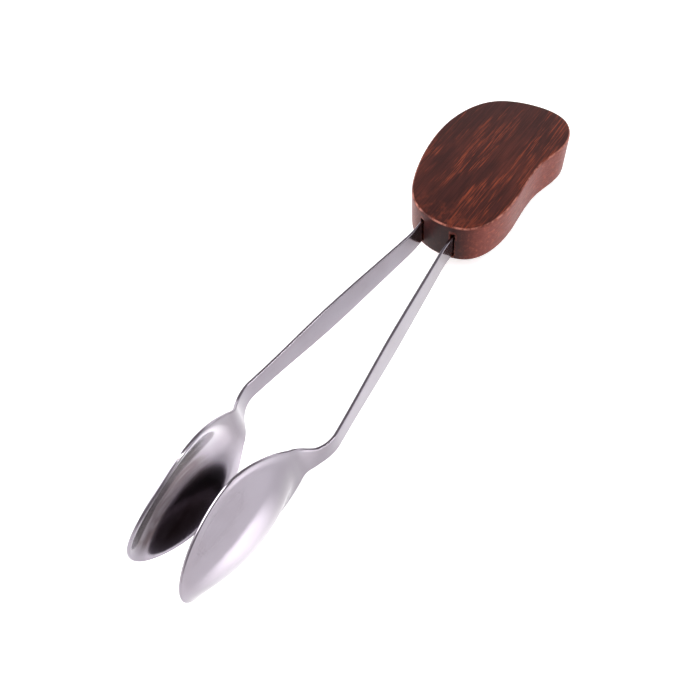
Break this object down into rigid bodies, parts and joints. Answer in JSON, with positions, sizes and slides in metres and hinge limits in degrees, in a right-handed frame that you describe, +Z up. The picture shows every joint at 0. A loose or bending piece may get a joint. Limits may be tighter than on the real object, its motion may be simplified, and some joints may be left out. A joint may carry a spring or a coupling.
{
  "type": "ice tongs",
  "caption": "Spring tongs for ice: steel spoon arms with facing bowls, set in the end of a kidney-shaped dark wood handle block.",
  "frame": {"origin": "middle of the bounding box, on the table that the tongs lie on", "axes": "+X from the bowls to the block's far end, +Y towards the left arm, +Z up from the table; the tongs lie as they rest, so the block's faces slope by 3.7 degrees"},
  "size_m": [0.2008, 0.0422, 0.0342],
  "materials": {
    "handle_wood": "dark brown stained hardwood under satin lacquer, orange-brown grain showing through",
    "arm_steel": "polished stainless steel sheet with a fine satin, mirror-bright inside the bowls",
    "slot_resin": "set dark brown epoxy resin"
  },
  "bodies": {
    "block": {"handle_block": "handle_wood", "left_slot_resin": "slot_resin", "right_slot_resin": "slot_resin", "left_tang": "arm_steel", "right_tang": "arm_steel"},
    "left_arm": {"left_arm": "arm_steel"},
    "right_arm": {"right_arm": "arm_steel"}
  },
  "joints": [
    {"name": "left_arm_flex", "type": "hinge", "parent": "block", "child": "left_arm", "pos_m": [0.01334, 0.00543, 0.01127], "axis": [0.0653, 0, 0.9979], "range_deg": [0, 3.5], "stiffness_Nm_per_rad": 2.9},
    {"name": "right_arm_flex", "type": "hinge", "parent": "block", "child": "right_arm", "pos_m": [0.01334, -0.00912, 0.01127], "axis": [-0.0653, 0, -0.9979], "range_deg": [0, 3.5], "stiffness_Nm_per_rad": 2.9}
  ]
}
